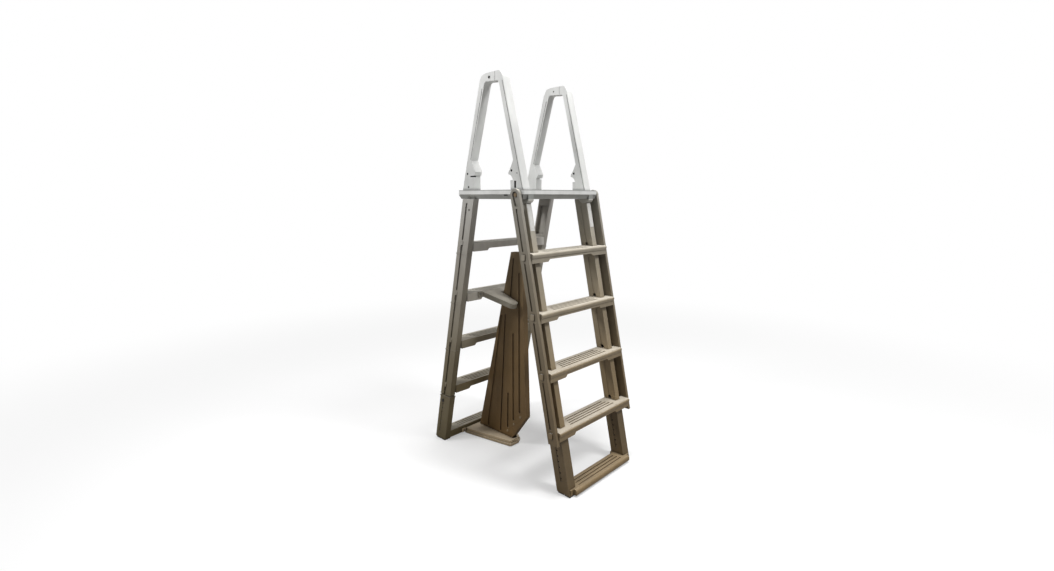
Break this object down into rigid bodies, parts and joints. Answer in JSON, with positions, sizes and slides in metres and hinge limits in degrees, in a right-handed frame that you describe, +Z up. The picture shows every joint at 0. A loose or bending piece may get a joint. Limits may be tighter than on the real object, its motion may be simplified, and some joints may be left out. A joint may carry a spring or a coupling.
{
  "type": "pool ladder",
  "caption": "A-frame pool ladder: platform with two handrail arches, flip-up outer ladder, fixed in-pool ladder and a swim-through barrier panel.",
  "frame": {"origin": "centre of the bounding box at floor level", "axes": "+X across the treads, -Y the ground side (outer ladder), +Y the pool side, +Z up"},
  "size_m": [0.582, 0.9288, 1.8495],
  "materials": {
    "pale_resin": "moulded, fine texture",
    "taupe_resin": "moulded, fine texture",
    "dark_rubber": "matt",
    "steel": "satin",
    "label": "blank sticker"
  },
  "bodies": {
    "frame": {"platform": "pale_resin", "handrail_front_left": "pale_resin", "handrail_front_right": "pale_resin", "handrail_rear_left": "pale_resin", "handrail_rear_right": "pale_resin", "handrail_screws": "steel", "platform_bolts": "steel", "hinge_pins": "taupe_resin", "inner_side_left": "taupe_resin", "inner_side_right": "taupe_resin", "inner_tread_1": "taupe_resin", "inner_tread_2": "taupe_resin", "inner_tread_3": "taupe_resin", "inner_tread_4": "taupe_resin", "inner_clips": "pale_resin", "barrier_upper_bracket": "taupe_resin", "upper_bracket_screws": "steel"},
    "outer_ladder": {"outer_side_left": "taupe_resin", "outer_side_right": "taupe_resin", "outer_post_1_left": "taupe_resin", "outer_post_1_right": "taupe_resin", "outer_post_2_left": "taupe_resin", "outer_post_2_right": "taupe_resin", "outer_post_3_left": "taupe_resin", "outer_post_3_right": "taupe_resin", "outer_post_4_left": "taupe_resin", "outer_post_4_right": "taupe_resin", "outer_tread_1": "taupe_resin", "outer_tread_2": "taupe_resin", "outer_tread_3": "taupe_resin", "outer_tread_4": "taupe_resin", "outer_pegs": "taupe_resin", "outer_guide_left": "taupe_resin", "outer_guide_right": "taupe_resin", "label_plates": "label"},
    "outer_leg_set": {"outer_leg_left": "taupe_resin", "outer_leg_right": "taupe_resin", "outer_bottom_tread": "taupe_resin", "outer_lock_pins": "dark_rubber", "outer_feet": "dark_rubber"},
    "inner_leg_set": {"inner_leg_left": "taupe_resin", "inner_leg_right": "taupe_resin", "inner_bottom_tread": "taupe_resin", "inner_lock_pins": "dark_rubber", "inner_feet": "dark_rubber", "barrier_base_plate": "taupe_resin", "base_plate_screws": "steel", "barrier_panel": "taupe_resin"}
  },
  "joints": [
    {"name": "outer_ladder_flip", "type": "hinge", "parent": "frame", "child": "outer_ladder", "pos_m": [0, -0.158, 1.315], "axis": [-1, 0, 0], "range_deg": [0, 148]},
    {"name": "outer_leg_slide", "type": "slide", "parent": "outer_ladder", "child": "outer_leg_set", "axis": [0, -0.209, -0.9779], "range_m": [0, 0.1]},
    {"name": "inner_leg_slide", "type": "slide", "parent": "frame", "child": "inner_leg_set", "axis": [0, 0.209, -0.9779], "range_m": [0, 0.1]}
  ]
}
